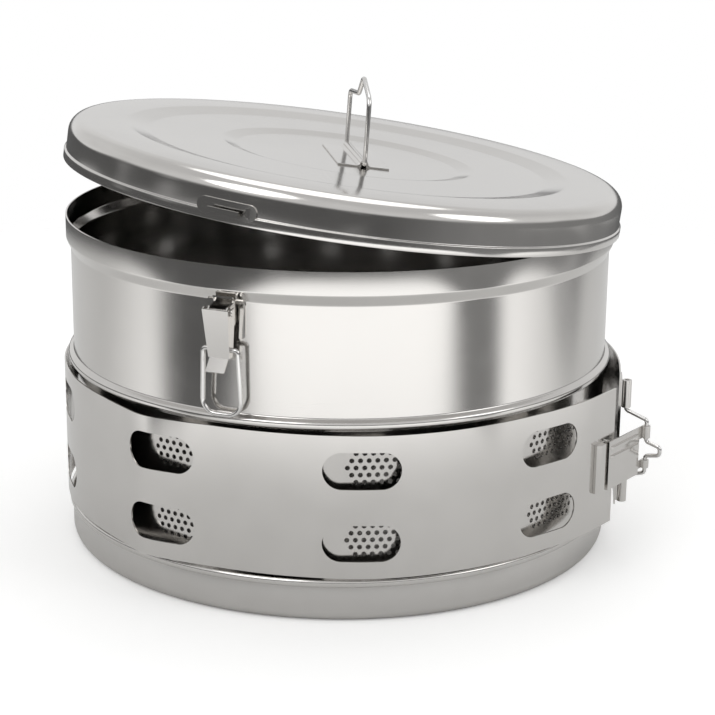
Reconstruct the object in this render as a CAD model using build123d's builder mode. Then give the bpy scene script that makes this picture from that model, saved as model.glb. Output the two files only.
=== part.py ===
from build123d import *
import os
from math import cos, radians, sin

os.makedirs("parts", exist_ok=True)

# Sterilization drum: a round stainless steel case with a loose lid, two lever clasps, and a
# perforated wall whose holes are opened and covered by a sliding band with a tension latch.
# Millimetres, +Z up, origin at the centre of the base on the ground. Azimuths are in degrees,
# 0 towards -Y (the front) and growing counter-clockwise seen from above.

# Sheet and wire
sheet = 0.8
wire_sides = 8
wire_play = 0.08

# Drum wall and base pan
wall_r = 145.1
collar_proud = 2.4
collar_top = 177.4
collar_h = 12.0
collar_step = 4.9
waist_proud = 3.0
waist_bead_z = 101.3
waist_bead_h = 5.8
bead_flank = 1.4
foot_proud = 1.8
foot_bead_proud = 1.6
foot_bead_h = 5.1
foot_flank = 1.7
pan_h = 18.8
pan_round = 5.0
pan_flat = 0.3
pan_play = 0.3
foot_lap = 12.0

# Hole clusters of the wall and windows of the band: nine stations, one taken by the latch
stations = 9
latch_station = 2
window_az = 4.4
window_l = 38.5
window_h = 19.0
window_rows = (42.3, 79.6)
vent_lag = 4.8
vent_r = 1.9
vent_pitch = 8.6
vent_row_pitch = 6.0
vent_rows = (3, 4, 3)
punch_in = 4.0
window_punch = 20.0

# Lid, in its own frame: height is measured from the plane of its lower edge
lid_lap = 13.4
lid_play = 0.8
rim_proud = 1.1
rim_h = 4.4
rim_step = 0.5
shoulder = 8.0
crest_h = 21.8
crest_w = 30.1
slope_w = 12.0
ring_w = 39.0
ring_h = 19.4
step_w = 8.0
panel_h = 17.5

# Stand-in hinge of the loose lid and the angle at which it rests propped open
lid_low_az = 100.5
lid_axis_out = 24.9
lid_axis_up = 3.5
lid_open = 7.86

# Lid handle and its tunnel plate
handle_az = 8.4
handle_offset = 4.2
handle_lean = 4.0
handle_wire_r = 1.25
handle_span = 63.4
handle_front_h = 34.0
handle_peak = (9.0, 42.5)
handle_saddle = (-3.0, 32.5)
handle_back_h = 30.0
handle_bends = (1.6, 6.0, 4.0, 5.0, 4.0, 1.6)
wire_gap = 0.6
tunnel_l = 60.0
tunnel_w = 27.5
tunnel_axis_h = 1.7
tunnel_flank = 1.4

# Strikes on the lid skirt
strike_l = 31.0
strike_z = 6.5
strike_h = 8.0
strike_proud = 1.3
tongue_w = 16.0
tongue_root = 0.1
tongue_top = 4.8
tongue_sheet = 1.0
tongue_reach = 4.9
tongue_lip_h = 2.0
dimple_at = 11.7
dimple_r = 2.5
dimple_depth = 0.5

# Clasps: azimuth of the front one and distances measured outward from the wall
clasp_az = -22.0
bracket_w = 21.0
bracket_low = 142.0
bracket_high = 162.8
bracket_lip = 3.4
ear_span = 10.4
ear_r = 2.3
ear_low = 148.0
ear_high = 160.4
plate_sink = 0.3
lip_fold = 2.0
lip_root = 0.6
bracket_round = 2.0
pin_out = 8.0
pin_z = 156.5
pin_r = 1.2
pin_head_r = 1.9
pin_head_l = 0.7
head_play = 0.3
lever_top = 158.0
lever_low = 133.6
lever_top_out = 12.0
lever_low_out = 8.0
lever_top_half = 6.8
lever_low_half = 5.6
flange_back = 4.0
tab_lap = 1.5
tab_drop = 5.8
tab_out = 5.0
tab_half = 4.8
bail_wire_r = 1.2
bail_out = 6.0
bail_z = 137.5
bail_inner = 3.9
bail_half = 9.1
bail_low_half = 10.4
bail_low_z = 104.4
bail_low_out = 4.9
bail_bend = 1.7
bail_low_bend = 7.0

# Shutter band: azimuth and distance outside the wall along the slackened loop, from front end to rear end
band_low = 24.2
band_high = 97.5
band_shape = (
    (42, 6.6), (31, 5.7), (8, 6.1), (-2, 4.8), (-10, 3.9), (-24, 3.9),
    (-31, 6.2), (-39, 9.3), (-46, 6.7), (-54, 5.0), (-75, 5.2), (-95, 5.4),
    (-120, 5.0), (-145, 4.7), (-170, 4.7), (-195, 4.7), (-220, 4.9), (-245, 5.5),
    (-265, 7.2),
)
front_end_out = 14.4
front_end_az = 64.4
front_end_turn = 12.1
front_seat_l = 22.0
rear_end_out = 11.1
rear_end_az = 73.5
rear_end_turn = 9.6
rear_seat_l = 14.0

# Band latch. Along the band is counted from its front end, away from the gap.
latch_low = 45.0
latch_high = 71.5
keeper_far = 20.0
keeper_near = 7.6
keeper_block = 13.6
keeper_proud = 3.4
keeper_lip = 1.1
keeper_lip_h = 2.2
keeper_floor = 0.6
keeper_slope = 1.5
crank_wire_r = 1.1
crank_out = 4.9
crank_ahead = 25.8
plate_back = 10.8
plate_ahead = 21.0
hook_depth = 1.9
rib_proud = 1.0
rib_h = 1.6
rib_inset = 1.5
rib_run = 1.5
rib_at = (62.5, 67.4)
knuckle_wall = 0.9
knuckle_upper = (64.6, 71.5)
knuckle_lower = (48.0, 52.5)
barrel_wall = 1.3
barrel_upper = (80.0, 95.0)
barrel_lower = (27.0, 40.0)
barrel_past = 1.0
leaf_l = 13.0
leaf_notch = 4.0
crank_bend = 2.0
crank_end_in = 0.6
crank_turn_z = (78.4, 74.4, 45.0, 41.6)
finger_out = 8.5
finger_z = (62.6, 60.8, 56.4, 54.6)


def radial(az):
    return Vector(sin(radians(az)), -cos(radians(az)), 0)


def tangent(az):
    return Vector(cos(radians(az)), sin(radians(az)), 0)


# Upright plane through a frame's axis: sketch x runs outward, sketch y runs up.
def upright(az, frame=Plane.XY):
    return Plane(frame.location * Plane((0, 0, 0), radial(az), -tangent(az)).location)


# Plane that faces outward at a radius: sketch x runs along the wall, sketch y runs up.
def facing(az, r, frame=Plane.XY):
    return Plane(frame.location * Plane(radial(az) * r, tangent(az), radial(az)).location)


open_stations = [k for k in range(stations) if k != latch_station]
station_pitch = 360 / stations

# Radii that follow the drawn wall
foot_r = wall_r + foot_proud
pan_r = foot_r + pan_play + sheet
foot_bead_r = pan_r + foot_bead_proud
waist_bead_r = wall_r + waist_proud
collar_r = wall_r + collar_proud
collar_foot = collar_top - collar_h

# Drum wall: one drawn shell from the foot inside the pan to the collar
waist_low = waist_bead_z - waist_bead_h / 2
waist_high = waist_bead_z + waist_bead_h / 2
foot_top = pan_h + foot_bead_h
with BuildPart() as drum_wall:
    with BuildSketch(Plane.XZ):
        with BuildLine():
            Polyline(
                (foot_r, pan_h - foot_lap),
                (foot_r, pan_h),
                (foot_bead_r, pan_h),
                (foot_bead_r, foot_top - foot_flank),
                (wall_r, foot_top),
                (wall_r, waist_low),
                (waist_bead_r, waist_low + bead_flank),
                (waist_bead_r, waist_high - bead_flank),
                (wall_r, waist_high),
                (wall_r, collar_foot - collar_step),
                (collar_r, collar_foot),
                (collar_r, collar_top),
            )
            offset(amount=sheet, side=Side.LEFT, kind=Kind.INTERSECTION)
        make_face()
    revolve(axis=Axis.Z)
    vent_sites = []
    for row, count in enumerate(vent_rows):
        for hole in range(count):
            across = (hole - (count - 1) / 2) * vent_pitch
            vent_sites.append((across, (row - (len(vent_rows) - 1) / 2) * vent_row_pitch))
    for k in open_stations:
        with BuildSketch(facing(window_az + vent_lag + k * station_pitch, wall_r - punch_in)):
            for z in window_rows:
                with Locations(*[(x, z + y) for x, y in vent_sites]):
                    RegularPolygon(radius=vent_r, side_count=6)
        extrude(amount=2 * punch_in, mode=Mode.SUBTRACT)
drum_wall.part.label = "drum_wall"
export_step(drum_wall.part, "parts/drum_wall.step")

# Base pan: flat floor, rounded edge and a skirt whose rim carries the wall's foot bead
with BuildPart() as base_pan:
    with BuildSketch(Plane.XZ):
        with BuildLine():
            Polyline(
                (0, 0),
                (pan_r - pan_round, 0),
                (pan_r - pan_round * pan_flat, pan_round * pan_flat),
                (pan_r, pan_round),
                (pan_r, pan_h),
            )
            offset(amount=sheet, side=Side.LEFT, kind=Kind.INTERSECTION)
        make_face()
    revolve(axis=Axis.Z)
base_pan.part.label = "base_pan"
export_step(base_pan.part, "parts/base_pan.step")

# Frame of the lid: the closed seat swung open about the stand-in hinge
skirt_r = collar_r + lid_play + sheet
rim_r = skirt_r + rim_proud
crest_in_r = skirt_r - crest_w
ring_out_r = crest_in_r - slope_w
ring_in_r = ring_out_r - ring_w
panel_r = ring_in_r - step_w
lid_closed_z = collar_top - lid_lap
hinge_point = radial(lid_low_az) * (skirt_r + lid_axis_out) + Vector(0, 0, lid_closed_z + lid_axis_up)
hinge_axis = Axis(hinge_point, tangent(lid_low_az))
lid_seat = Vector(0, 0, lid_closed_z)
lid_frame = Plane(
    origin=hinge_point + (lid_seat - hinge_point).rotate(hinge_axis, lid_open),
    x_dir=Vector(1, 0, 0).rotate(hinge_axis, lid_open),
    z_dir=Vector(0, 0, 1).rotate(hinge_axis, lid_open),
)

# Lid: dished top in three levels, round shoulder, plain skirt and a proud rim
shoulder_line = [
    (skirt_r - shoulder + shoulder * sin(radians(a)), crest_h - shoulder + shoulder * cos(radians(a)))
    for a in (0, 30, 60, 90)
]
with BuildPart() as lid:
    with BuildSketch(upright(90, lid_frame)):
        with BuildLine():
            Polyline(
                (0, panel_h),
                (panel_r, panel_h),
                (ring_in_r, ring_h),
                (ring_out_r, ring_h),
                (crest_in_r, crest_h),
                *shoulder_line,
                (skirt_r, rim_h + rim_step),
                (rim_r, rim_h),
                (rim_r, 0),
            )
            offset(amount=sheet, side=Side.RIGHT, kind=Kind.INTERSECTION)
        make_face()
    revolve(axis=Axis(lid_frame.origin, lid_frame.z_dir))
lid.part.label = "lid"
export_step(lid.part, "parts/lid.step")

# Handle frame: x along the tunnel towards the front, z out of the lid's sunken panel
handle_home = Plane(
    origin=tangent(handle_az) * handle_offset + Vector(0, 0, panel_h),
    x_dir=radial(handle_az),
    z_dir=(0, 0, 1),
)
handle_frame = Plane(lid_frame.location * handle_home.location)
tunnel_in = handle_wire_r + wire_play
tunnel_out = tunnel_in + sheet
half_w = tunnel_w / 2

# Tunnel plate: a sheet pressed up into a long tunnel that the handle's wire turns in
with BuildPart() as lid_tunnel_plate:
    with BuildSketch(Plane(handle_frame.location * Plane.YZ.offset(-tunnel_l / 2).location)):
        with BuildLine():
            Polyline(
                (-tunnel_out, tunnel_axis_h), (-tunnel_out - tunnel_flank, sheet),
                (-half_w, sheet), (-half_w, 0), (-tunnel_in, 0), (-tunnel_in, tunnel_axis_h),
            )
            CenterArc((0, tunnel_axis_h), tunnel_in, 0, 180)
            Polyline(
                (tunnel_in, tunnel_axis_h), (tunnel_in, 0), (half_w, 0), (half_w, sheet),
                (tunnel_out + tunnel_flank, sheet), (tunnel_out, tunnel_axis_h),
            )
            CenterArc((0, tunnel_axis_h), tunnel_out, 0, 180)
        make_face()
    extrude(amount=tunnel_l)
lid_tunnel_plate.part.label = "lid_tunnel_plate"
export_step(lid_tunnel_plate.part, "parts/lid_tunnel_plate.step")

# Handle: one closed wire, straight under the tunnel and hand-bent above it
handle_side = Plane(
    origin=(0, 0, tunnel_axis_h),
    x_dir=(1, 0, 0),
    z_dir=Vector(0, -1, 0).rotate(Axis.X, handle_lean),
)
handle_axis_plane = Plane(handle_frame.location * handle_side.location)
foot = handle_span / 2
with BuildPart() as lid_handle:
    with BuildLine(handle_axis_plane) as handle_route:
        FilletPolyline(
            (wire_gap / 2, 0),
            (foot, 0),
            (foot, handle_front_h),
            handle_peak,
            handle_saddle,
            (-foot, handle_back_h),
            (-foot, 0),
            (-wire_gap / 2, 0),
            radius=handle_bends,
        )
    with BuildSketch(Plane(origin=handle_route.wire() @ 0, z_dir=handle_route.wire() % 0)):
        RegularPolygon(radius=handle_wire_r, side_count=wire_sides)
    sweep(path=handle_route.wire())
lid_handle.part.label = "lid_handle"
export_step(lid_handle.part, "parts/lid_handle.step")

# Strikes: a long pad on the lid's skirt with a hooked tongue for the clasp's loop
for side, az in (("front", clasp_az), ("rear", clasp_az + 180)):
    pad_r = skirt_r + strike_proud
    lip_r = skirt_r + tongue_reach
    with BuildPart() as strike:
        with BuildSketch(facing(az, skirt_r - shoulder, lid_frame)):
            with Locations((0, strike_z)):
                SlotOverall(strike_l, strike_h)
        extrude(amount=2 * shoulder)
        with BuildSketch(upright(az, lid_frame)):
            with BuildLine():
                Polyline(
                    (skirt_r, rim_h + rim_step), (skirt_r, strike_z + strike_h),
                    (pad_r, strike_z + strike_h), (pad_r, strike_z - strike_h),
                    (rim_r, strike_z - strike_h), (rim_r, rim_h), close=True,
                )
            make_face()
        revolve(axis=Axis(lid_frame.origin, lid_frame.z_dir), mode=Mode.INTERSECT)
        with BuildSketch(facing(az, pad_r, lid_frame)):
            with Locations((dimple_at, strike_z)):
                Circle(dimple_r)
        extrude(amount=-dimple_depth, mode=Mode.SUBTRACT)
        with BuildSketch(upright(az, lid_frame)):
            with BuildLine():
                Polyline(
                    (pad_r - tongue_root, tongue_top - tongue_sheet),
                    (pad_r - tongue_root, tongue_top),
                    (lip_r - tongue_sheet, tongue_top),
                    (lip_r - tongue_sheet, tongue_top + tongue_lip_h),
                    (lip_r, tongue_top + tongue_lip_h),
                    (lip_r, tongue_top - tongue_sheet), close=True,
                )
            make_face()
        extrude(amount=tongue_w / 2, both=True)
    strike.part.label = f"{side}_strike"
    export_step(strike.part, f"parts/{side}_strike.step")

# Clasps: bracket and pin on the wall, lever on the pin, wire loop hung in the lever
lever_lean = (lever_top_out - lever_low_out) / (lever_top - lever_low)
for side, az in (("front", clasp_az), ("rear", clasp_az + 180)):
    plate_r = wall_r + sheet
    pin_at = (wall_r + pin_out, pin_z)
    with BuildPart() as bracket:
        with BuildSketch(facing(az, wall_r - bracket_w)):
            with Locations((0, (bracket_low + ear_high) / 2)):
                RectangleRounded(bracket_w, ear_high - bracket_low, bracket_round)
        extrude(amount=2 * bracket_w)
        with BuildSketch(Plane.XY.offset(bracket_low)):
            Circle(plate_r)
            Circle(wall_r, mode=Mode.SUBTRACT)
        extrude(amount=bracket_high - bracket_low, mode=Mode.INTERSECT)
        with BuildSketch(upright(az)):
            with BuildLine():
                Polyline(
                    (wall_r + plate_sink, ear_low), (wall_r + plate_sink, ear_high),
                    (pin_at[0] - ear_r, pin_z + ear_r), (pin_at[0], pin_z + ear_r),
                    (pin_at[0] + ear_r, pin_z), (pin_at[0], pin_z - ear_r), close=True,
                )
            make_face()
            with Locations(pin_at):
                Circle(pin_r, mode=Mode.SUBTRACT)
        extrude(amount=ear_span / 2, both=True)
        with BuildSketch(facing(az, plate_r)):
            with Locations((0, pin_z)):
                Rectangle(ear_span - 2 * sheet, 2 * (bracket_high - bracket_low))
        extrude(amount=pin_out + ear_r, mode=Mode.SUBTRACT)
        with BuildSketch(upright(az)):
            with BuildLine():
                Polyline(
                    (wall_r + plate_sink, ear_high - lip_fold), (wall_r + plate_sink, ear_high),
                    (wall_r + bracket_lip - sheet, bracket_high),
                    (wall_r + bracket_lip, bracket_high),
                    (wall_r + bracket_lip, bracket_high - sheet),
                    (plate_r + lip_root, ear_high - lip_fold), close=True,
                )
            make_face()
        extrude(amount=ear_span / 2, both=True)
        with BuildSketch(Plane.XY.offset(bracket_low)):
            Circle(wall_r)
        extrude(amount=collar_foot - collar_step - bracket_low, mode=Mode.SUBTRACT)
    bracket.part.label = f"{side}_clasp_bracket"
    export_step(bracket.part, f"parts/{side}_clasp_bracket.step")

    head_in = lever_top_half + head_play
    with BuildPart() as pin:
        with BuildSketch(upright(az)):
            with Locations(pin_at):
                Circle(pin_r)
        extrude(amount=head_in, both=True)
        for end in (-1, 1):
            with BuildSketch(upright(az).offset(end * head_in)):
                with Locations(pin_at):
                    Circle(pin_head_r)
            extrude(amount=end * pin_head_l)
    pin.part.label = f"{side}_clasp_pin"
    export_step(pin.part, f"parts/{side}_clasp_pin.step")

    with BuildPart() as lever:
        with BuildSketch(upright(az)):
            with BuildLine():
                Polyline(
                    (wall_r + flange_back, lever_top),
                    (wall_r + lever_top_out, lever_top),
                    (wall_r + lever_low_out, lever_low),
                    (wall_r + flange_back, lever_low),
                    close=True,
                )
            make_face()
        extrude(amount=2 * lever_top_half, both=True)
        with BuildSketch(facing(az, wall_r)):
            with BuildLine():
                Polyline(
                    (-lever_top_half, lever_top), (lever_top_half, lever_top),
                    (lever_low_half, lever_low), (-lever_low_half, lever_low), close=True,
                )
            make_face()
        extrude(amount=2 * lever_top_out, mode=Mode.INTERSECT)
        across = Axis((0, 0, 0), radial(az))
        ends = lever.faces().filter_by(Axis.Z)
        back = lever.faces().sort_by(across)[0]
        offset(amount=-sheet, openings=[back, *ends])
        with BuildSketch(upright(az)):
            with Locations(pin_at, (wall_r + bail_out, bail_z)):
                Circle(pin_r + wire_play / 2)
        extrude(amount=2 * lever_top_half, both=True, mode=Mode.SUBTRACT)
        with BuildSketch(upright(az)):
            with BuildLine():
                Polyline(
                    (wall_r + lever_low_out + tab_lap * lever_lean, lever_low + tab_lap),
                    (wall_r + lever_low_out, lever_low),
                    (wall_r + lever_low_out + tab_out, lever_low - tab_drop),
                )
                offset(amount=sheet, side=Side.RIGHT, kind=Kind.INTERSECTION)
            make_face()
        extrude(amount=tab_half, both=True)
    lever.part.label = f"{side}_clasp_lever"
    export_step(lever.part, f"parts/{side}_clasp_lever.step")

    bail_top = facing(az, wall_r + bail_out).origin + Vector(0, 0, bail_z)
    bail_down = radial(az) * (bail_low_out - bail_out) + Vector(0, 0, bail_low_z - bail_z)
    bail_drop = bail_down.length
    bail_plane = Plane(origin=bail_top, x_dir=tangent(az), z_dir=bail_down.cross(tangent(az)))
    with BuildPart() as bail:
        with BuildLine(bail_plane) as bail_route:
            FilletPolyline(
                (-bail_inner, 0),
                (-bail_half, 0),
                (-bail_low_half, -bail_drop),
                (bail_low_half, -bail_drop),
                (bail_half, 0),
                (bail_inner, 0),
                radius=[bail_bend, bail_low_bend, bail_low_bend, bail_bend],
            )
        with BuildSketch(Plane(origin=bail_route.wire() @ 0, z_dir=bail_route.wire() % 0)):
            RegularPolygon(radius=bail_wire_r, side_count=wire_sides)
        sweep(path=bail_route.wire())
    bail.part.label = f"{side}_clasp_bail"
    export_step(bail.part, f"parts/{side}_clasp_bail.step")

# Plan frames of the band's two ends: x runs clockwise along the band, y out of the band
front_frame = Plane(
    origin=radial(front_end_az) * (wall_r + front_end_out),
    x_dir=-tangent(front_end_az).rotate(Axis.Z, -front_end_turn),
)
rear_frame = Plane(
    origin=radial(rear_end_az) * (wall_r + rear_end_out),
    x_dir=-tangent(rear_end_az).rotate(Axis.Z, rear_end_turn),
)


# Shutter band: a bent strip with straight ends and sixteen long windows
def band_line(depth):
    return [radial(az) * (wall_r + out - depth) for az, out in band_shape]


band_h = band_high - band_low
with BuildPart() as shutter_band:
    with BuildSketch(Plane.XY.offset(band_low)):
        with BuildLine():
            edges = []
            for depth in (0, sheet):
                front_tip = front_frame.from_local_coords(Vector(0, -depth, 0))
                front_in = front_frame.from_local_coords(Vector(front_seat_l, -depth, 0))
                rear_tip = rear_frame.from_local_coords(Vector(0, -depth, 0))
                rear_in = rear_frame.from_local_coords(Vector(-rear_seat_l, -depth, 0))
                Line(front_tip, front_in)
                Spline(front_in, *band_line(depth), rear_in)
                Line(rear_in, rear_tip)
                edges.append((front_tip, rear_tip))
            Line(edges[0][0], edges[1][0])
            Line(edges[0][1], edges[1][1])
        make_face()
    extrude(amount=band_h)
    for k in open_stations:
        with BuildSketch(facing(window_az + k * station_pitch, wall_r - punch_in)):
            for z in window_rows:
                with Locations((0, z)):
                    SlotOverall(window_l, window_h)
        extrude(amount=window_punch, mode=Mode.SUBTRACT)
shutter_band.part.label = "shutter_band"
export_step(shutter_band.part, "parts/shutter_band.step")


# Keeper: a block with a groove and a lip, seated on the band's front end
latch_h = latch_high - latch_low
with BuildPart() as band_keeper:
    with BuildSketch(front_frame.offset(latch_low)):
        with BuildLine():
            Polyline(
                (keeper_far, 0), (keeper_far, keeper_proud / 2),
                (keeper_far - keeper_slope, keeper_proud), (keeper_block, keeper_proud),
                (keeper_block, keeper_floor), (keeper_near + keeper_lip, keeper_floor),
                (keeper_near + keeper_lip, keeper_lip_h), (keeper_near, keeper_lip_h),
                (keeper_near, 0), close=True,
            )
        make_face()
    extrude(amount=latch_h)
band_keeper.part.label = "band_keeper"
export_step(band_keeper.part, "parts/band_keeper.step")

# Barrel plate: a leaf on the band's rear end with two barrels for the crank
crank_barrel_r = crank_wire_r + wire_play + barrel_wall
barrel_out = sheet + crank_barrel_r
with BuildPart() as barrel_plate:
    for low, high in (barrel_lower, barrel_upper):
        with BuildSketch(rear_frame.offset(low)):
            with Locations((barrel_past, barrel_out)):
                Circle(crank_barrel_r)
            with Locations(((barrel_past - leaf_l) / 2, sheet / 2)):
                Rectangle(leaf_l + barrel_past, sheet)
            with Locations((barrel_past, barrel_out)):
                Circle(crank_wire_r + wire_play, mode=Mode.SUBTRACT)
        extrude(amount=high - low)
    with BuildSketch(rear_frame.offset(barrel_lower[0])):
        with Locations((-(leaf_l + leaf_notch) / 2, sheet / 2)):
            Rectangle(leaf_l - leaf_notch, sheet)
    extrude(amount=barrel_upper[1] - barrel_lower[0])
barrel_plate.part.label = "barrel_plate"
export_step(barrel_plate.part, "parts/barrel_plate.step")

# Crank axes: A runs through the barrels, B through the latch plate's knuckles
axis_a = rear_frame.from_local_coords(Vector(barrel_past, barrel_out, 0))
axis_b = front_frame.from_local_coords(Vector(-crank_ahead, crank_out, 0))
finger_tip = axis_b + front_frame.y_dir * finger_out
crank_points = [axis_a + Vector(0, 0, barrel_upper[1] - crank_end_in)]
crank_points.append(axis_a + Vector(0, 0, crank_turn_z[0]))
crank_points.append(axis_b + Vector(0, 0, crank_turn_z[1]))
crank_points.append(axis_b + Vector(0, 0, finger_z[0]))
crank_points.append(finger_tip + Vector(0, 0, finger_z[1]))
crank_points.append(finger_tip + Vector(0, 0, finger_z[2]))
crank_points.append(axis_b + Vector(0, 0, finger_z[3]))
crank_points.append(axis_b + Vector(0, 0, crank_turn_z[2]))
crank_points.append(axis_a + Vector(0, 0, crank_turn_z[3]))
crank_points.append(axis_a + Vector(0, 0, barrel_lower[0] + crank_end_in))
with BuildPart() as latch_crank:
    with BuildLine() as crank_route:
        FilletPolyline(*crank_points, radius=crank_bend)
    with BuildSketch(Plane(origin=crank_route.wire() @ 0, z_dir=crank_route.wire() % 0)):
        RegularPolygon(radius=crank_wire_r, side_count=wire_sides)
    sweep(path=crank_route.wire())
latch_crank.part.label = "latch_crank"
export_step(latch_crank.part, "parts/latch_crank.step")

# Latch plate: ribbed plate, hooked into the keeper on one side, rolled into knuckles on the other
knuckle_in = crank_wire_r + wire_play
knuckle_out = knuckle_in + knuckle_wall
plate_n = crank_out - knuckle_out
with BuildPart() as latch_plate:
    with BuildSketch(front_frame.offset(latch_low)):
        with Locations(((plate_back - plate_ahead) / 2, plate_n + sheet / 2)):
            Rectangle(plate_back + plate_ahead, sheet)
        with Locations((plate_back - sheet / 2, plate_n + (sheet - hook_depth) / 2)):
            Rectangle(sheet, sheet + hook_depth)
    extrude(amount=latch_h)
    for low, high in (knuckle_lower, knuckle_upper):
        with BuildSketch(front_frame.offset(low)):
            with Locations((-(plate_ahead + crank_ahead) / 2, plate_n + sheet / 2)):
                Rectangle(crank_ahead - plate_ahead, sheet)
            with Locations((-crank_ahead, crank_out)):
                Circle(knuckle_out)
                Circle(knuckle_in, mode=Mode.SUBTRACT)
        extrude(amount=high - low)
    for z in rib_at:
        with BuildSketch(front_frame.offset(z - rib_h / 2)):
            with BuildLine():
                Polyline(
                    (plate_back - rib_inset, plate_n + sheet / 2),
                    (plate_back - rib_inset - rib_run, plate_n + sheet + rib_proud),
                    (rib_inset + rib_run - plate_ahead, plate_n + sheet + rib_proud),
                    (rib_inset - plate_ahead, plate_n + sheet / 2), close=True,
                )
            make_face()
        extrude(amount=rib_h)
latch_plate.part.label = "latch_plate"
export_step(latch_plate.part, "parts/latch_plate.step")
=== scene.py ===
import math

import bpy
from mathutils import Matrix, Vector


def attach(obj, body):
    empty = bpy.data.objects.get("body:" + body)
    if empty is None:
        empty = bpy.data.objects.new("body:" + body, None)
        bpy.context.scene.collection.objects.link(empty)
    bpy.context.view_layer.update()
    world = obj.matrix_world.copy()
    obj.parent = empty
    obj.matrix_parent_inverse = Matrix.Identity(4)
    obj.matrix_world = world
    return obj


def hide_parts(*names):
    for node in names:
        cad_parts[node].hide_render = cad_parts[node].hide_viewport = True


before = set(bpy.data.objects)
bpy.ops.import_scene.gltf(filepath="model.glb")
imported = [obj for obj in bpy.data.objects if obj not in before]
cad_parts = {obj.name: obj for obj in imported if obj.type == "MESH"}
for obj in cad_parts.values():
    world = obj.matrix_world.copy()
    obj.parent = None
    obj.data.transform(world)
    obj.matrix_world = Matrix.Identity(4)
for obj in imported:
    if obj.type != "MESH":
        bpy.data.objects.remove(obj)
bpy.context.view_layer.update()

mm = 0.001  # the drum's dictionaries are in millimetres and degrees, the studio's in metres
weldDistance = 0.002 * mm  # points closer than this are one point


def deselectAll():
    for thing in bpy.context.selected_objects:
        thing.select_set(False)


def pick(piece):
    deselectAll()
    piece.select_set(True)
    bpy.context.view_layer.objects.active = piece
    bpy.context.tool_settings.mesh_select_mode = (True, False, False)


# Azimuth 0 is the front, towards -Y, and grows counter-clockwise seen from above
def outward(az):
    return Vector((math.sin(math.radians(az)), -math.cos(math.radians(az)), 0))


def along(az):
    return Vector((math.cos(math.radians(az)), math.sin(math.radians(az)), 0))


def frameMatrix(origin, xAxis, zAxis):
    yAxis = zAxis.cross(xAxis)
    rotation = Matrix((xAxis, yAxis, zAxis)).transposed().to_4x4()
    return Matrix.Translation(origin) @ rotation


def applyPlace(piece):
    pick(piece)
    bpy.ops.object.transform_apply(location=True, rotation=True, scale=True)


def applyModifiers(piece):
    pick(piece)
    for modifier in list(piece.modifiers):
        bpy.ops.object.modifier_apply(modifier=modifier.name)


# A line of edges through points in millimetres, extruded from one vertex
def drawLine(name, points):
    deselectAll()
    points = [Vector(point) * mm for point in points]
    bpy.ops.mesh.primitive_plane_add(size=mm, location=points[0])
    piece = bpy.context.object
    piece.name = name
    applyPlace(piece)
    bpy.ops.object.mode_set(mode="EDIT")
    bpy.ops.mesh.select_all(action="SELECT")
    bpy.ops.mesh.merge(type="CENTER")
    for here, after in zip(points, points[1:]):
        bpy.ops.mesh.extrude_vertices_move(TRANSFORM_OT_translate={"value": after - here})
    bpy.ops.object.mode_set(mode="OBJECT")
    return piece


# Rounds single corners of a line: each corner is its index in points, with a radius
def roundCorners(piece, points, radii, stepDegrees=9):
    points = [Vector(point) for point in points]
    for index, radius in radii.items():
        before = (points[index - 1] - points[index]).normalized()
        after = (points[index + 1] - points[index]).normalized()
        inside = before.angle(after)
        pick(piece)
        bpy.ops.object.mode_set(mode="EDIT")
        bpy.ops.mesh.select_all(action="DESELECT")
        bpy.ops.object.mode_set(mode="OBJECT")
        for vertex in piece.data.vertices:
            vertex.select = (vertex.co - points[index] * mm).length < weldDistance
        bpy.ops.object.mode_set(mode="EDIT")
        bpy.ops.mesh.bevel(
            offset=radius / math.tan(inside / 2) * mm,
            segments=max(3, round(math.degrees(math.pi - inside) / stepDegrees)),
            affect="VERTICES",
        )
        bpy.ops.object.mode_set(mode="OBJECT")


# Turns a half section round the Z axis into a closed skin with outward normals
def turnRound(piece, steps):
    pick(piece)
    bpy.ops.object.mode_set(mode="EDIT")
    bpy.ops.mesh.select_all(action="SELECT")
    bpy.ops.mesh.spin(steps=steps, angle=math.tau, center=(0, 0, 0), axis=(0, 0, 1))
    bpy.ops.mesh.select_all(action="SELECT")
    bpy.ops.mesh.remove_doubles(threshold=weldDistance)
    bpy.ops.mesh.normals_make_consistent(inside=False)
    bpy.ops.object.mode_set(mode="OBJECT")


def thicken(piece, sheet):
    solid = piece.modifiers.new("thickness", "SOLIDIFY")
    solid.thickness = sheet * mm
    solid.offset = -1
    solid.use_even_offset = True
    applyModifiers(piece)


# Takes the edge off a sheet or block wherever two faces meet at more than the angle
def breakEdges(piece, width, angle):
    bevel = piece.modifiers.new("edges", "BEVEL")
    bevel.width = width * mm
    bevel.segments = 2
    bevel.limit_method = "ANGLE"
    bevel.angle_limit = math.radians(angle)
    bevel.use_clamp_overlap = True
    applyModifiers(piece)


def smooth(piece, angle=32):
    pick(piece)
    bpy.ops.object.shade_smooth_by_angle(angle=math.radians(angle))


def joinAll(name, pieces):
    deselectAll()
    for piece in pieces:
        piece.select_set(True)
    bpy.context.view_layer.objects.active = pieces[0]
    bpy.ops.object.join()
    joined = bpy.context.object
    joined.name = name
    return joined


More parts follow.
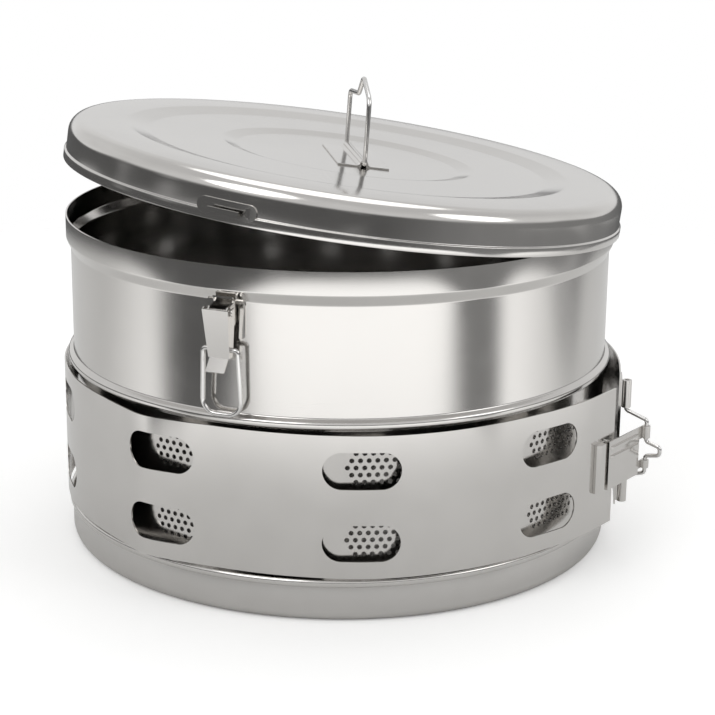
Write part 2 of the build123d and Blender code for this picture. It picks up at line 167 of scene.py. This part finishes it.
# Keeps the even sheen of the uncut sheet on the faces that are left after cutting. The walls of
# the cuts face another way, so they keep their own normals.
def keepSheen(piece, uncut, leastAgreement=0.9):
    trial = piece.copy()
    trial.data = piece.data.copy()
    bpy.context.collection.objects.link(trial)
    transfer = trial.modifiers.new("sheen", "DATA_TRANSFER")
    transfer.object = uncut
    transfer.use_loop_data = True
    transfer.data_types_loops = {"CUSTOM_NORMAL"}
    transfer.loop_mapping = "POLYINTERP_NEAREST"
    applyModifiers(trial)
    borrowed = [corner.vector.copy() for corner in trial.data.corner_normals]
    for face in piece.data.polygons:
        for corner in face.loop_indices:
            if face.normal.dot(borrowed[corner]) < leastAgreement:
                borrowed[corner] = Vector((0, 0, 0))
    piece.data.normals_split_custom_set(borrowed)
    bpy.data.objects.remove(trial)
    bpy.data.objects.remove(uncut)


def cutAway(piece, cutter):
    cut = piece.modifiers.new("cut", "BOOLEAN")
    cut.operation = "DIFFERENCE"
    cut.solver = "EXACT"
    cut.object = cutter
    applyModifiers(piece)
    bpy.data.objects.remove(cutter)


wireAngle = 50  # a wire shades smooth across its sides and sharp at its cut ends


# A rounded line of edges becomes a round wire with closed ends
def makeWire(piece, radius, sides=14):
    pick(piece)
    bpy.ops.object.convert(target="CURVE")
    piece.data.bevel_depth = radius * mm
    piece.data.bevel_resolution = (sides - 4) // 2  # a bevelled curve has four sides at least
    piece.data.use_fill_caps = True
    bpy.ops.object.convert(target="MESH")
    pick(piece)
    bpy.ops.object.mode_set(mode="EDIT")
    bpy.ops.mesh.select_all(action="SELECT")
    bpy.ops.mesh.remove_doubles(threshold=weldDistance)
    bpy.ops.mesh.normals_make_consistent(inside=False)
    bpy.ops.object.mode_set(mode="OBJECT")


def copyAt(piece, matrix):
    double = piece.copy()
    double.data = piece.data.copy()
    bpy.context.collection.objects.link(double)
    double.matrix_world = matrix @ piece.matrix_world
    return double


# A cylinder that goes through the front of the case, at a distance out from the drum's axis
def roundPunch(radius, depth, out, sides):
    deselectAll()
    bpy.ops.mesh.primitive_cylinder_add(
        vertices=sides, radius=radius * mm, depth=depth * mm, location=(0, -out * mm, 0),
        rotation=(math.pi / 2, 0, 0),
    )
    punch = bpy.context.object
    applyPlace(punch)
    return punch


# One punch, copied to every station round the case and both rows
def punchesRound(name, punch, az, values):
    punches = []
    for station in values["stations"]:
        turn = Matrix.Rotation(math.radians(az + station * values["pitch"]), 4, "Z")
        for z in values["rows"]:
            punches.append(copyAt(punch, turn @ Matrix.Translation((0, 0, z * mm))))
    bpy.data.objects.remove(punch)
    punches = joinAll(name, punches)
    applyPlace(punches)
    return punches


# A node socket that takes part in Python expressions. Without a socket it only starts off a tree.
class Value:
    def __init__(self, tree, socket=None):
        self.tree = tree
        self.socket = socket

    def node(self, kind, settings=None, values=None, output=0):
        made = self.tree.nodes.new("ShaderNode" + kind)
        for setting, choice in (settings or {}).items():
            setattr(made, setting, choice)
        for name, value in (values or {}).items():
            entry = made.inputs[name]
            if isinstance(value, Value):
                self.tree.links.new(value.socket, entry)
            else:
                entry.default_value = value
        return Value(self.tree, made.outputs[output])

    # Another output of the same node
    def beside(self, output):
        return Value(self.tree, self.socket.node.outputs[output])

    def dot(self, direction):
        return self.node("VectorMath", {"operation": "DOT_PRODUCT"}, {0: self, 1: direction}, "Value")

    def math(self, operation, first, second=0.0):
        return self.node("Math", {"operation": operation}, {0: first, 1: second})

    def __add__(self, other):
        return self.math("ADD", self, other)

    def __radd__(self, other):
        return self.math("ADD", other, self)

    def __sub__(self, other):
        return self.math("SUBTRACT", self, other)

    def __rsub__(self, other):
        return self.math("SUBTRACT", other, self)

    def __mul__(self, other):
        return self.math("MULTIPLY", self, other)

    def __rmul__(self, other):
        return self.math("MULTIPLY", other, self)

    def __truediv__(self, other):
        return self.math("DIVIDE", self, other)

    def __rtruediv__(self, other):
        return self.math("DIVIDE", other, self)

    def __pow__(self, other):
        return self.math("POWER", self, other)

    def __rpow__(self, other):
        return self.math("POWER", other, self)


def blendColours(amount, dark, light):
    # a mix node's colours are its inputs 6 and 7 and its output 2
    return amount.node(
        "Mix", {"data_type": "RGBA"}, {"Factor": amount, 6: (*dark, 1), 7: (*light, 1)}, output=2
    )


# Smooth step between two edges
def rampBetween(value, low, high):
    return value.node(
        "MapRange", {"interpolation_type": "SMOOTHSTEP"},
        {"Value": value, "From Min": low, "From Max": high, "To Min": 0.0, "To Max": 1.0},
    )


def newSteel(name):
    material = bpy.data.materials.new(name)
    material.use_nodes = True
    shader = material.node_tree.nodes["Principled BSDF"]
    shader.inputs["Metallic"].default_value = 1.0
    return material, shader, Value(material.node_tree).node("TexCoord", output="Object")


def feed(shader, name, value):
    value.tree.links.new(value.socket, shader.inputs[name])


steelFinish = {
    "dark": (0.585, 0.57, 0.55),
    "light": (0.715, 0.698, 0.676),
    "roughness": 0.14,
    "roughnessSpread": 0.1,
    "cloudScale": 14,
    "cloudShare": 0.6,
    "smearScale": 56,
    "smearShare": 0.4,
    "brushScale": 900,
    "brushSpread": 0.04,
    "brushStrength": 0.25,
    "brushDepth": 0.00001,
}


# Steel with broad clouds and finer smears in tone and polish, and faint rubbing lines round the case
def polishedSheet(name, finish):
    material, shader, place = newSteel(name)
    height = place.node("SeparateXYZ", {}, {"Vector": place}, "Z")
    clouds = place.node("TexNoise", {}, {"Vector": place, "Scale": finish["cloudScale"], "Detail": 3.0})
    smears = place.node("TexNoise", {}, {"Vector": place, "Scale": finish["smearScale"], "Detail": 5.0})
    lines = place.node(
        "TexNoise", {"noise_dimensions": "1D"}, {"W": height * finish["brushScale"], "Detail": 3.0}
    )
    wear = clouds * finish["cloudShare"] + smears * finish["smearShare"]
    feed(shader, "Base Color", blendColours(wear, finish["dark"], finish["light"]))
    roughness = finish["roughness"] + (wear - 0.5) * finish["roughnessSpread"]
    feed(shader, "Roughness", roughness + (lines - 0.5) * finish["brushSpread"])
    bump = place.node(
        "Bump", {}, {"Height": lines, "Strength": finish["brushStrength"], "Distance": finish["brushDepth"]}
    )
    feed(shader, "Normal", bump)
    return material


satinFinish = {**steelFinish, "dark": (0.6, 0.585, 0.565), "light": (0.72, 0.705, 0.685), "roughness": 0.34}
wireFinish = {**steelFinish, "dark": (0.62, 0.61, 0.6), "light": (0.8, 0.79, 0.775), "roughness": 0.16}
steel = polishedSheet("polishedSteel", steelFinish)
satin = polishedSheet("satinSteel", satinFinish)
brightWire = polishedSheet("brightWire", wireFinish)
print("finishes made")


def finishPiece(piece, body, nodes, material):
    piece.data.materials.clear()
    piece.data.materials.append(material)
    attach(piece, body)
    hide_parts(*nodes)


wallValues = {
    "sheet": 0.8,
    "turns": 256,
    "section": [  # radius and height
        (146.9, 6.8), (146.9, 18.8), (149.6, 18.8), (149.6, 22.2), (145.1, 23.9), (145.1, 98.4),
        (148.1, 99.8), (148.1, 102.8), (145.1, 104.2), (145.1, 160.5), (147.5, 165.4), (147.5, 177.4),
    ],
    "rounds": {2: 1.2, 3: 1.7, 4: 0.8, 5: 0.8, 6: 1.45, 7: 1.45, 8: 0.8, 9: 3.0, 10: 3.0},  # by corner
    "stations": [0, 1, 3, 4, 5, 6, 7, 8],  # none at 2, where the latch is
    "pitch": 40,
    "rows": (42.3, 79.6),
    "ventAz": 9.2,
    "ventCounts": (8, 9, 10, 9, 8),
    "ventPitch": 4.2,
    "ventRise": 3.65,
    "ventRadius": 1.25,
    "ventSides": 12,
    "punchOut": 145,
    "punchDepth": 6,
}


def halfSection(name, values):
    points = [(r, 0, z) for r, z in values["section"]]
    line = drawLine(name, points)
    roundCorners(line, points, values["rounds"])
    return line


# One round punch, copied to every hole of a cluster and every cluster of the wall
def ventPunches(values):
    punch = roundPunch(values["ventRadius"], values["punchDepth"], values["punchOut"], values["ventSides"])
    cluster = []
    for row, count in enumerate(values["ventCounts"]):
        rise = (row - (len(values["ventCounts"]) - 1) / 2) * values["ventRise"]
        for hole in range(count):
            across = (hole - (count - 1) / 2) * values["ventPitch"]
            turn = Matrix.Rotation(across / values["punchOut"], 4, "Z")
            cluster.append(copyAt(punch, turn @ Matrix.Translation((0, 0, rise * mm))))
    bpy.data.objects.remove(punch)
    cluster = joinAll("ventCluster", cluster)
    applyPlace(cluster)
    return punchesRound("ventPunches", cluster, values["ventAz"], values)


drumWall = halfSection("drumWall", wallValues)
turnRound(drumWall, wallValues["turns"])
thicken(drumWall, wallValues["sheet"])
smooth(drumWall)
uncutWall = copyAt(drumWall, Matrix.Identity(4))
cutAway(drumWall, ventPunches(wallValues))
smooth(drumWall)
keepSheen(drumWall, uncutWall)
finishPiece(drumWall, "drum", ["drum_wall"], steel)
print("drum wall made", len(drumWall.data.polygons), "faces")

panValues = {
    "sheet": 0.8,
    "turns": 256,
    "section": [(0, 0), (143, 0), (148, 0), (148, 18.8)],
    "rounds": {2: 5.0},
    "edge": 0.2,
    "edgeAngle": 60,
}
basePan = halfSection("basePan", panValues)
turnRound(basePan, panValues["turns"])
thicken(basePan, panValues["sheet"])
breakEdges(basePan, panValues["edge"], panValues["edgeAngle"])
smooth(basePan)
finishPiece(basePan, "drum", ["base_pan"], satin)
print("base pan made")


lidValues = {
    "sheet": 0.8,
    "turns": 256,
    "section": [
        (0, 17.5), (60, 17.5), (68, 19.4), (107, 19.4), (119, 21.8), (149.1, 21.8),
        (149.1, 4.9), (150.2, 4.4), (150.2, 0),
    ],
    "rounds": {1: 8.0, 2: 8.0, 3: 12.0, 4: 12.0, 5: 8.0},
    "edge": 0.2,
    "edgeAngle": 60,
    "lowAz": 100.5,  # the side to which the lid leans
    "axisRadius": 174.0,
    "axisHeight": 167.5,
    "open": 7.86,
    "seat": 164.0,  # height of the rim when the lid is closed
}
hinge = outward(lidValues["lowAz"]) * lidValues["axisRadius"]
hinge = (hinge + Vector((0, 0, lidValues["axisHeight"]))) * mm
tipped = Matrix.Rotation(math.radians(lidValues["open"]), 4, along(lidValues["lowAz"]))
lidPlace = (
    Matrix.Translation(hinge) @ tipped @ Matrix.Translation(-hinge)
    @ Matrix.Translation((0, 0, lidValues["seat"] * mm))
)
lid = halfSection("dishedLid", lidValues)
turnRound(lid, lidValues["turns"])
thicken(lid, lidValues["sheet"])
breakEdges(lid, lidValues["edge"], lidValues["edgeAngle"])
lid.matrix_world = lidPlace
applyPlace(lid)
smooth(lid)
finishPiece(lid, "lid", ["lid"], steel)
print("lid made")

handleValues = {
    "az": 8.4, "offset": 4.2, "panel": 17.5, "axisHeight": 1.7, "lean": 4.0, "radius": 1.25,
    "route": [
        (0.3, 0), (31.7, 0), (31.7, 34.0), (9.0, 42.5), (-3.0, 32.5), (-31.7, 30.0), (-31.7, 0), (-0.3, 0),
    ],
    "rounds": {1: 1.6, 2: 6.0, 3: 4.0, 4: 5.0, 5: 4.0, 6: 1.6},
}
handleHome = frameMatrix(
    (along(handleValues["az"]) * handleValues["offset"] + Vector((0, 0, handleValues["panel"]))) * mm,
    outward(handleValues["az"]), Vector((0, 0, 1)),
)
handlePlace = lidPlace @ handleHome
lean = math.radians(handleValues["lean"])
handleUp = Vector((0, -math.sin(lean), math.cos(lean)))
handlePoints = [
    Vector((x, 0, handleValues["axisHeight"])) + handleUp * y for x, y in handleValues["route"]
]
handle = drawLine("lidHandle", handlePoints)
roundCorners(handle, handlePoints, handleValues["rounds"])
makeWire(handle, handleValues["radius"])
handle.matrix_world = handlePlace
applyPlace(handle)
smooth(handle, wireAngle)
finishPiece(handle, "handle", ["lid_handle"], brightWire)
print("handle made")


bailValues = {
    "azimuths": {"front": -22.0, "rear": 158.0},
    "wall": 145.1, "out": 6.0, "z": 137.5, "inner": 3.9, "half": 9.1, "lowHalf": 10.4,
    "lowOut": 4.9, "lowZ": 104.4, "radius": 1.2, "rounds": {1: 1.7, 2: 7.0, 3: 7.0, 4: 1.7},
}
for side, az in bailValues["azimuths"].items():
    top = outward(az) * (bailValues["wall"] + bailValues["out"]) + Vector((0, 0, bailValues["z"]))
    drop = outward(az) * (bailValues["lowOut"] - bailValues["out"])
    drop = drop + Vector((0, 0, bailValues["lowZ"] - bailValues["z"]))
    bailPoints = [
        top - along(az) * bailValues["inner"], top - along(az) * bailValues["half"],
        top + drop - along(az) * bailValues["lowHalf"], top + drop + along(az) * bailValues["lowHalf"],
        top + along(az) * bailValues["half"], top + along(az) * bailValues["inner"],
    ]
    bail = drawLine(side + "Bail", bailPoints)
    roundCorners(bail, bailPoints, bailValues["rounds"])
    makeWire(bail, bailValues["radius"])
    smooth(bail, wireAngle)
    finishPiece(bail, side + "_bail", [side + "_clasp_bail"], brightWire)
print("bails made")


pressedValues = {"flatAngle": 1.0, "edgeAngle": 18, "smoothAngle": 40}


# A merged copy of a pressed part, with its sharp edges rounded
def pressedCopy(name, node, edge):
    piece = bpy.data.objects.new(name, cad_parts[node].data.copy())
    bpy.context.collection.objects.link(piece)
    pick(piece)
    bpy.ops.mesh.customdata_custom_splitnormals_clear()
    bpy.ops.object.mode_set(mode="EDIT")
    bpy.ops.mesh.select_all(action="SELECT")
    bpy.ops.mesh.remove_doubles(threshold=weldDistance)
    bpy.ops.mesh.dissolve_limited(angle_limit=math.radians(pressedValues["flatAngle"]))
    bpy.ops.object.mode_set(mode="OBJECT")
    breakEdges(piece, edge, pressedValues["edgeAngle"])
    smooth(piece, pressedValues["smoothAngle"])
    weighted = piece.modifiers.new("flats", "WEIGHTED_NORMAL")
    weighted.keep_sharp = True
    applyModifiers(piece)
    return piece


pressedParts = {  # for each node, the piece's name, its body and the width of its softened edges
    "lid_tunnel_plate": ("tunnelPlate", "lid", 0.25),
    "front_strike": ("frontStrike", "lid", 0.3),
    "rear_strike": ("rearStrike", "lid", 0.3),
    "front_clasp_bracket": ("frontBracket", "drum", 0.2),
    "rear_clasp_bracket": ("rearBracket", "drum", 0.2),
    "front_clasp_pin": ("frontPin", "drum", 0.2),
    "rear_clasp_pin": ("rearPin", "drum", 0.2),
    "front_clasp_lever": ("frontLever", "front_lever", 0.2),
    "rear_clasp_lever": ("rearLever", "rear_lever", 0.2),
    "band_keeper": ("bandKeeper", "band", 0.25),
    "barrel_plate": ("barrelPlate", "band", 0.2),
    "latch_plate": ("latchPlate", "plate", 0.2),
}
for node, (name, body, edge) in pressedParts.items():
    piece = pressedCopy(name, node, edge)
    finishPiece(piece, body, [node], steel)
print("pressed parts made")


bandValues = {
    "sheet": 0.8, "low": 24.2, "high": 97.5,
    "outline": [  # azimuth and radius
        (42, 151.7), (31, 150.8), (8, 151.12), (-2, 149.85), (-10, 149.0), (-24, 149.0),
        (-31, 151.3), (-39, 154.4), (-46, 151.8), (-54, 150.1), (-75, 150.3), (-95, 150.5),
        (-120, 150.1), (-145, 149.8), (-170, 149.8), (-195, 149.8), (-220, 150.0), (-245, 150.6),
        (-265, 152.3),
    ],
    "stepDegrees": 1.5,
    "frontAz": 64.4, "frontRadius": 159.5, "frontTurn": -12.1, "frontSeat": 22.0,
    "rearAz": 73.5, "rearRadius": 156.2, "rearTurn": 9.6, "rearSeat": 14.0,
    "windowAz": 4.4, "windowLength": 38.5, "windowHeight": 19.0, "windowSides": 48,
    "stations": wallValues["stations"], "pitch": wallValues["pitch"], "rows": wallValues["rows"],
    "punchOut": 151, "punchDepth": 24, "edge": 0.15, "edgeAngle": 60,
}


# Where a straight end of the band begins, with X along the band and Y out of it
def endFrame(az, radius, turn):
    xAxis = Matrix.Rotation(math.radians(turn), 3, "Z") @ -along(az)
    return frameMatrix(outward(az) * radius, xAxis, Vector((0, 0, 1)))


frontEnd = endFrame(bandValues["frontAz"], bandValues["frontRadius"], bandValues["frontTurn"])
rearEnd = endFrame(bandValues["rearAz"], bandValues["rearRadius"], bandValues["rearTurn"])


def polar(point, turns=0):
    return math.degrees(math.atan2(point.x, -point.y)) + 360 * turns, math.hypot(point.x, point.y)


# The slack band in plan: straight at both ends, smooth through the outline between them
def bandPlan(values):
    frontTip = frontEnd @ Vector((0, 0, 0))
    frontIn = frontEnd @ Vector((values["frontSeat"], 0, 0))
    rearIn = rearEnd @ Vector((-values["rearSeat"], 0, 0))
    rearTip = rearEnd @ Vector((0, 0, 0))
    # azimuths fall all the way round, so those of the rear end are taken one turn back
    knots = [polar(frontTip), polar(frontIn), *values["outline"], polar(rearIn, -1), polar(rearTip, -1)]
    plan = [frontTip]
    for index in range(1, len(knots) - 2):
        (a0, r0), (a1, r1), (a2, r2), (a3, r3) = knots[index - 1:index + 3]
        steps = max(2, round((a1 - a2) / values["stepDegrees"]))
        slope1 = (r2 - r0) / (a2 - a0) * (a2 - a1)
        slope2 = (r3 - r1) / (a3 - a1) * (a2 - a1)
        for step in range(steps):
            t = step / steps
            r = (
                (2 * t**3 - 3 * t**2 + 1) * r1 + (t**3 - 2 * t**2 + t) * slope1
                + (3 * t**2 - 2 * t**3) * r2 + (t**3 - t**2) * slope2
            )
            plan.append(outward(a1 + (a2 - a1) * t) * r)
    return plan + [rearIn, rearTip]


# A long window: a cylinder pulled apart into two half rounds
def windowPunches(values):
    half = (values["windowLength"] - values["windowHeight"]) / 2
    punch = roundPunch(
        values["windowHeight"] / 2, values["punchDepth"], values["punchOut"], values["windowSides"]
    )
    for vertex in punch.data.vertices:
        vertex.co.x += half * mm * (1 if vertex.co.x > 0 else -1)
    return punchesRound("windowPunches", punch, values["windowAz"], values)


plan = [Vector((point.x, point.y, bandValues["low"])) for point in bandPlan(bandValues)]
band = drawLine("shutterBand", plan)
pick(band)
bpy.ops.object.mode_set(mode="EDIT")
bpy.ops.mesh.select_all(action="SELECT")
rise = (bandValues["high"] - bandValues["low"]) * mm
bpy.ops.mesh.extrude_edges_move(TRANSFORM_OT_translate={"value": (0, 0, rise)})
bpy.ops.mesh.select_all(action="SELECT")
bpy.ops.mesh.normals_make_consistent(inside=False)
bpy.ops.object.mode_set(mode="OBJECT")
# the sheet thickens inwards, so its first skin has to face out
facing = band.data.polygons[len(band.data.polygons) // 2]
if facing.normal.dot(facing.center) < 0:
    band.data.flip_normals()
thicken(band, bandValues["sheet"])
smooth(band)
uncutBand = copyAt(band, Matrix.Identity(4))
cutAway(band, windowPunches(bandValues))
breakEdges(band, bandValues["edge"], bandValues["edgeAngle"])
smooth(band)
keepSheen(band, uncutBand)
finishPiece(band, "band", ["shutter_band"], steel)
print("band made", len(band.data.polygons), "faces")

crankValues = {
    "radius": 1.1, "bend": 2.0, "barrelPast": 1.0, "barrelOut": 3.28, "ahead": 25.8, "out": 4.9,
    "barrels": (94.4, 27.6), "turns": (78.4, 74.4, 45.0, 41.6), "fingerOut": 8.5,
    "fingers": (62.6, 60.8, 56.4, 54.6),
}
axisA = rearEnd @ Vector((crankValues["barrelPast"], crankValues["barrelOut"], 0))
axisB = frontEnd @ Vector((-crankValues["ahead"], crankValues["out"], 0))
fingerTip = axisB + frontEnd.to_3x3() @ Vector((0, crankValues["fingerOut"], 0))
crankLine = [
    (axisA, crankValues["barrels"][0]), (axisA, crankValues["turns"][0]), (axisB, crankValues["turns"][1]),
    (axisB, crankValues["fingers"][0]), (fingerTip, crankValues["fingers"][1]),
    (fingerTip, crankValues["fingers"][2]), (axisB, crankValues["fingers"][3]),
    (axisB, crankValues["turns"][2]), (axisA, crankValues["turns"][3]), (axisA, crankValues["barrels"][1]),
]
crankPoints = [Vector((point.x, point.y, z)) for point, z in crankLine]
crank = drawLine("latchCrank", crankPoints)
roundCorners(crank, crankPoints, {index: crankValues["bend"] for index in range(1, len(crankPoints) - 1)})
makeWire(crank, crankValues["radius"])
smooth(crank, wireAngle)
finishPiece(crank, "crank", ["latch_crank"], brightWire)
print("crank made")


floorValues = {
    "size": 3.0,
    "colour": (0.96, 0.96, 0.955),
    "mirrored": (0.76, 0.76, 0.755),  # painted reflection: a darker floor colour that metal alone sees, standing in for shade beside the drum
    "roughness": 0.8,
    "specular": 0.1,
    "lift": 0.23,  # added light, for the camera alone
    "paintedGlow": 0.85,  # painted reflection: light the floor gives off for metal alone, though it is no lamp
    "glowRadii": (0.3, 0.58),  # it grows between these distances from the drum's axis
    "glowSide": (-0.3, 0.7),  # and from the back, which is -1, to the front, which is 1
    "edge": (0.66, 0.84),  # the floor fades into the white surroundings between these radii
    "notches": [(-52, 14, 0.32), (52, 40, 0.3), (100, 30, 0.2)],  # azimuth, sharpness, depth
}
deselectAll()
bpy.ops.mesh.primitive_plane_add(size=floorValues["size"], location=(0, 0, 0))
floor = bpy.context.object
floor.name = "floor"
floorPaint = bpy.data.materials.new("paleFloor")
floorPaint.use_nodes = True
tree = floorPaint.node_tree
shader = tree.nodes["Principled BSDF"]
shader.inputs["Roughness"].default_value = floorValues["roughness"]
shader.inputs["Specular IOR Level"].default_value = floorValues["specular"]
shader.inputs["Emission Color"].default_value = (1, 1, 1, 1)
toCamera = Value(tree).node("LightPath", output="Is Camera Ray")
toMetal = toCamera.beside("Is Glossy Ray")
# metal sees the floor in a darker painted colour, as painted shade in its reflections near the drum
feed(shader, "Base Color", blendColours(toMetal, floorValues["colour"], floorValues["mirrored"]))
spot = Value(tree).node("TexCoord", output="Object")
reach = spot.node("VectorMath", {"operation": "LENGTH"}, {0: spot}, "Value")
heading = spot.node("VectorMath", {"operation": "NORMALIZE"}, {0: spot})
# the floor glows for glossy rays only, as a painted reflection that is brighter away from the drum and
# towards the front
paintedGlow = toMetal * rampBetween(reach, *floorValues["glowRadii"])
paintedGlow = paintedGlow * rampBetween(heading.dot(outward(0)), *floorValues["glowSide"]) * floorValues["paintedGlow"]
feed(shader, "Emission Strength", toCamera * floorValues["lift"] + paintedGlow)
# each notch brings the floor's edge nearer to the drum round one azimuth
for az, sharpness, depth in floorValues["notches"]:
    ahead = heading.dot(outward(az))
    reach = reach + ahead.math("MAXIMUM", ahead, 0.0) ** sharpness * depth
feed(shader, "Alpha", 1 - rampBetween(reach, *floorValues["edge"]))
floor.data.materials.append(floorPaint)

lampValues = {
    "target": (0, 0, 0.1),
    "lamps": {  # place, size and power
        "keyLamp": ((-0.9, -1.2, 1.6), 1.2, 7.0),
        "fillLamp": ((1.5, -0.7, 1.3), 1.0, 4.0),
        "topLamp": ((0.1, 0.5, 2.0), 1.6, 8.0),
    },
}
for name, (place, size, power) in lampValues["lamps"].items():
    deselectAll()
    bpy.ops.object.light_add(type="AREA", location=place)
    lamp = bpy.context.object
    lamp.name = name
    lamp.data.shape = "DISK"
    lamp.data.size = size
    lamp.data.energy = power
    aim = Vector(lampValues["target"]) - Vector(place)
    lamp.rotation_euler = aim.to_track_quat("-Z", "Y").to_euler()

# The room is white to the camera. Metal sees it bright above the table's edge and dark below it.
roomValues = {
    "light": 0.62,  # what dull surfaces receive
    "high": 0.86,
    "highFall": 0.2,  # by this much darker straight up
    "low": 0.11,
    "cloudScale": 2.2,
    "cloudDepth": 0.25,
    "patch": (0.55, 0.8),  # clouds between these values lighten the dark part
    "patchLight": 0.35,
    "side": (0.2, 0.9),  # and so does the right side
    "sideLight": 0.15,
    "skyline": 0.34,
    "skylineBlur": (0.35, 1.1),
    "back": (0.1, 0.7),  # the skyline drops towards the back
    "backDrop": 0.3,
}
world = bpy.data.worlds.new("studio")
bpy.context.scene.world = world
world.use_nodes = True
tree = world.node_tree
background = tree.nodes["Background"]
toCamera = Value(tree).node("LightPath", output="Is Camera Ray")
toMetal = toCamera.beside("Is Glossy Ray")
direction = Value(tree).node("TexCoord", output="Generated")
climb = direction.node("SeparateXYZ", {}, {"Vector": direction}, "Z")
sideways = climb.beside("X")
backwards = climb.beside("Y")
clouds = direction.node(
    "TexNoise", {}, {"Vector": direction, "Scale": roomValues["cloudScale"], "Detail": 1.0}
)
high = roomValues["high"] + (clouds - 0.5) * roomValues["cloudDepth"] - climb * roomValues["highFall"]
low = roomValues["low"] + rampBetween(clouds, *roomValues["patch"]) * roomValues["patchLight"]
low = low + rampBetween(sideways, *roomValues["side"]) * roomValues["sideLight"]
skyline = roomValues["skyline"] - rampBetween(backwards, *roomValues["back"]) * roomValues["backDrop"]
mirrored = low + (high - low) * rampBetween(climb / skyline, *roomValues["skylineBlur"])
strength = toCamera + (1 - toCamera) * (toMetal * mirrored + (1 - toMetal) * roomValues["light"])
background.inputs["Color"].default_value = (1, 1, 1, 1)
tree.links.new(strength.socket, background.inputs["Strength"])
print("studio made")

cameraValues = {
    "place": (0, -1.01284, 0.38985), "target": (0, 0, 0.1), "roll": 0.446, "lens": 95.98,
    "shiftX": 0.0255, "shiftY": -0.0179, "sensor": 36, "nearest": 0.01,
}
deselectAll()
bpy.ops.object.camera_add(location=cameraValues["place"])
camera = bpy.context.object
aim = (Vector(cameraValues["target"]) - Vector(cameraValues["place"])).to_track_quat("-Z", "Y")
rolled = aim.to_matrix() @ Matrix.Rotation(math.radians(cameraValues["roll"]), 3, "Z")
camera.rotation_euler = rolled.to_euler()
camera.data.sensor_width = cameraValues["sensor"]
camera.data.lens = cameraValues["lens"]
camera.data.shift_x = cameraValues["shiftX"]
camera.data.shift_y = cameraValues["shiftY"]
camera.data.clip_start = cameraValues["nearest"]
bpy.context.scene.camera = camera
bpy.context.scene.view_settings.view_transform = "Standard"
print("camera set")
